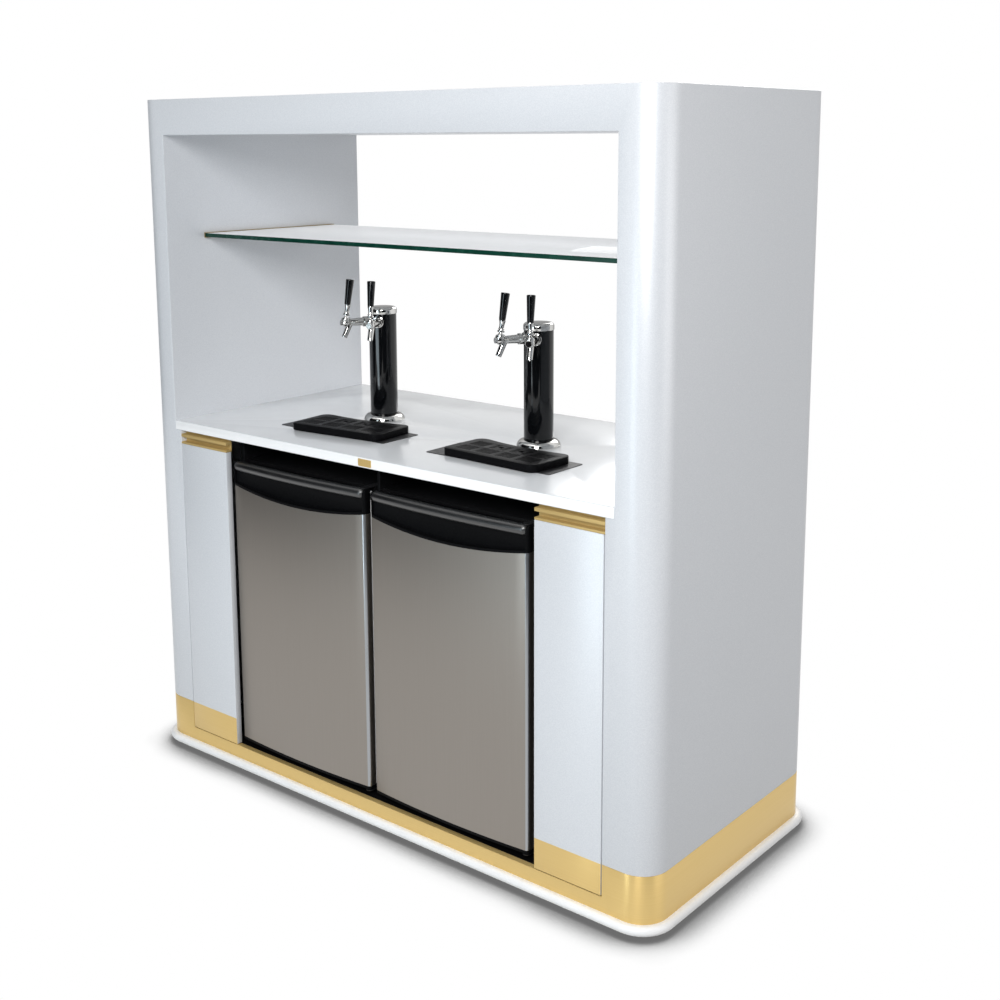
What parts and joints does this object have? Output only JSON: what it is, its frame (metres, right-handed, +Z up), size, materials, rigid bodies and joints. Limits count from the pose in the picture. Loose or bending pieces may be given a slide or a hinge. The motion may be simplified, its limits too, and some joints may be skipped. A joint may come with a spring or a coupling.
{
  "type": "mobile beer bar",
  "caption": "Mobile beer bar: rounded pearl cabinet with a gold foot band, open serving window, glass shelf, fridges, side cupboards and beer towers with taps.",
  "frame": {"origin": "on the floor under the middle of the bar", "axes": "+X to the right of someone facing the fridges, +Y towards the guests' side, +Z up"},
  "size_m": [1.865, 0.828, 2],
  "materials": {
    "pearl_paint": "pearl silver-white lacquer on board",
    "gold_laminate": "brushed gold laminate on board",
    "gold_metal": "brushed gold",
    "plywood": "raw birch plywood",
    "white_vinyl": "soft white vinyl",
    "white_solid_surface": "polished white slab",
    "black_board": "matt black laminate",
    "clear_glass": "clear float glass with polished edges",
    "black_plastic": "fine grained black plastic",
    "gloss_black": "gloss black",
    "white_plastic": "white vacuum-formed plastic",
    "gasket_rubber": "soft grey rubber",
    "fridge_steel": "brushed stainless look",
    "dark_steel": "dark painted steel",
    "zinc_steel": "bright zinc plate",
    "chrome": "polished chrome",
    "wheel_plastic": "dark nylon"
  },
  "bodies": {
    "bar": {"base_deck": "plywood", "bumper_rail": "white_vinyl", "gold_skirt": "gold_laminate", "caster_plates": "zinc_steel", "side_shell_left": "pearl_paint", "side_shell_right": "pearl_paint", "inner_walls": "pearl_paint", "canopy_fascias": "pearl_paint", "soffit_panel": "pearl_paint", "top_panel": "pearl_paint", "counter_posts": "pearl_paint", "countertop": "white_solid_surface", "edge_plate": "gold_metal", "back_panel": "pearl_paint", "bay_dividers": "black_board", "glass_shelf": "clear_glass", "shelf_channels": "gold_metal", "pull_channels": "gold_metal", "door_pivots": "zinc_steel", "fridge_cabinet_left": "black_plastic", "fridge_cabinet_right": "black_plastic", "fridge_liners": "white_plastic", "fridge_hinges": "dark_steel", "compressors": "dark_steel", "tower_columns": "gloss_black", "tower_flanges": "chrome", "tower_caps": "chrome", "tap_shanks": "chrome", "faucets": "chrome", "drain_plates": "dark_steel"},
    "cupboard_door_left": {"cupboard_door_left": "pearl_paint"},
    "fridge_door_left": {"fridge_panel_left": "fridge_steel", "fridge_trim_left": "gloss_black", "door_liner_left": "white_plastic", "door_gasket_left": "gasket_rubber"},
    "cupboard_door_right": {"cupboard_door_right": "pearl_paint"},
    "fridge_door_right": {"fridge_panel_right": "fridge_steel", "fridge_trim_right": "gloss_black", "door_liner_right": "white_plastic", "door_gasket_right": "gasket_rubber"},
    "tap_1": {"tap_lever_1": "chrome", "tap_handle_1": "gloss_black"},
    "tap_2": {"tap_lever_2": "chrome", "tap_handle_2": "gloss_black"},
    "tap_3": {"tap_lever_3": "chrome", "tap_handle_3": "gloss_black"},
    "tap_4": {"tap_lever_4": "chrome", "tap_handle_4": "gloss_black"},
    "tray_left": {"drip_tray_left": "black_plastic"},
    "grate_left": {"drip_grate_left": "black_plastic"},
    "tray_right": {"drip_tray_right": "black_plastic"},
    "grate_right": {"drip_grate_right": "black_plastic"},
    "caster_1": {"caster_fork_1": "zinc_steel"},
    "wheel_1": {"caster_wheel_1": "wheel_plastic"},
    "caster_2": {"caster_fork_2": "zinc_steel"},
    "wheel_2": {"caster_wheel_2": "wheel_plastic"},
    "caster_3": {"caster_fork_3": "zinc_steel"},
    "wheel_3": {"caster_wheel_3": "wheel_plastic"},
    "caster_4": {"caster_fork_4": "zinc_steel"},
    "wheel_4": {"caster_wheel_4": "wheel_plastic"}
  },
  "joints": [
    {"name": "cupboard_hinge_left", "type": "hinge", "parent": "bar", "child": "cupboard_door_left", "pos_m": [-0.7565, -0.387, 0.5], "axis": [0, 0, -1], "range_deg": [0, 100]},
    {"name": "fridge_hinge_left", "type": "hinge", "parent": "bar", "child": "fridge_door_left", "pos_m": [-0.0355, -0.366, 0.5], "axis": [0, 0, 1], "range_deg": [0, 95]},
    {"name": "cupboard_hinge_right", "type": "hinge", "parent": "bar", "child": "cupboard_door_right", "pos_m": [0.7565, -0.387, 0.5], "axis": [0, 0, 1], "range_deg": [0, 100]},
    {"name": "fridge_hinge_right", "type": "hinge", "parent": "bar", "child": "fridge_door_right", "pos_m": [0.5235, -0.366, 0.5], "axis": [0, 0, 1], "range_deg": [0, 95]},
    {"name": "tap_pull_1", "type": "hinge", "parent": "bar", "child": "tap_1", "pos_m": [-0.36941, -0.09336, 1.364], "axis": [0.8988, -0.4384, 0], "range_deg": [0, 35]},
    {"name": "tap_pull_2", "type": "hinge", "parent": "bar", "child": "tap_2", "pos_m": [-0.26859, -0.09336, 1.364], "axis": [0.8988, 0.4384, 0], "range_deg": [0, 35]},
    {"name": "tap_pull_3", "type": "hinge", "parent": "bar", "child": "tap_3", "pos_m": [0.21859, -0.09336, 1.364], "axis": [0.8988, -0.4384, 0], "range_deg": [0, 35]},
    {"name": "tap_pull_4", "type": "hinge", "parent": "bar", "child": "tap_4", "pos_m": [0.31941, -0.09336, 1.364], "axis": [0.8988, 0.4384, 0], "range_deg": [0, 35]},
    {"name": "tray_lift_left", "type": "slide", "parent": "bar", "child": "tray_left", "axis": [0, 0, 1], "range_m": [0, 0.08]},
    {"name": "grate_lift_left", "type": "slide", "parent": "tray_left", "child": "grate_left", "axis": [0, 0, 1], "range_m": [0, 0.06]},
    {"name": "tray_lift_right", "type": "slide", "parent": "bar", "child": "tray_right", "axis": [0, 0, 1], "range_m": [0, 0.08]},
    {"name": "grate_lift_right", "type": "slide", "parent": "tray_right", "child": "grate_right", "axis": [0, 0, 1], "range_m": [0, 0.06]},
    {"name": "caster_swivel_1", "type": "hinge", "parent": "bar", "child": "caster_1", "pos_m": [-0.7545, -0.266, 0.05], "axis": [0, 0, 1], "continuous": true},
    {"name": "wheel_roll_1", "type": "hinge", "parent": "caster_1", "child": "wheel_1", "pos_m": [-0.7545, -0.25, 0.022], "axis": [1, 0, 0], "continuous": true},
    {"name": "caster_swivel_2", "type": "hinge", "parent": "bar", "child": "caster_2", "pos_m": [0.7545, -0.266, 0.05], "axis": [0, 0, 1], "continuous": true},
    {"name": "wheel_roll_2", "type": "hinge", "parent": "caster_2", "child": "wheel_2", "pos_m": [0.7545, -0.25, 0.022], "axis": [1, 0, 0], "continuous": true},
    {"name": "caster_swivel_3", "type": "hinge", "parent": "bar", "child": "caster_3", "pos_m": [-0.7545, 0.266, 0.05], "axis": [0, 0, 1], "continuous": true},
    {"name": "wheel_roll_3", "type": "hinge", "parent": "caster_3", "child": "wheel_3", "pos_m": [-0.7545, 0.282, 0.022], "axis": [1, 0, 0], "continuous": true},
    {"name": "caster_swivel_4", "type": "hinge", "parent": "bar", "child": "caster_4", "pos_m": [0.7545, 0.266, 0.05], "axis": [0, 0, 1], "continuous": true},
    {"name": "wheel_roll_4", "type": "hinge", "parent": "caster_4", "child": "wheel_4", "pos_m": [0.7545, 0.282, 0.022], "axis": [1, 0, 0], "continuous": true}
  ]
}
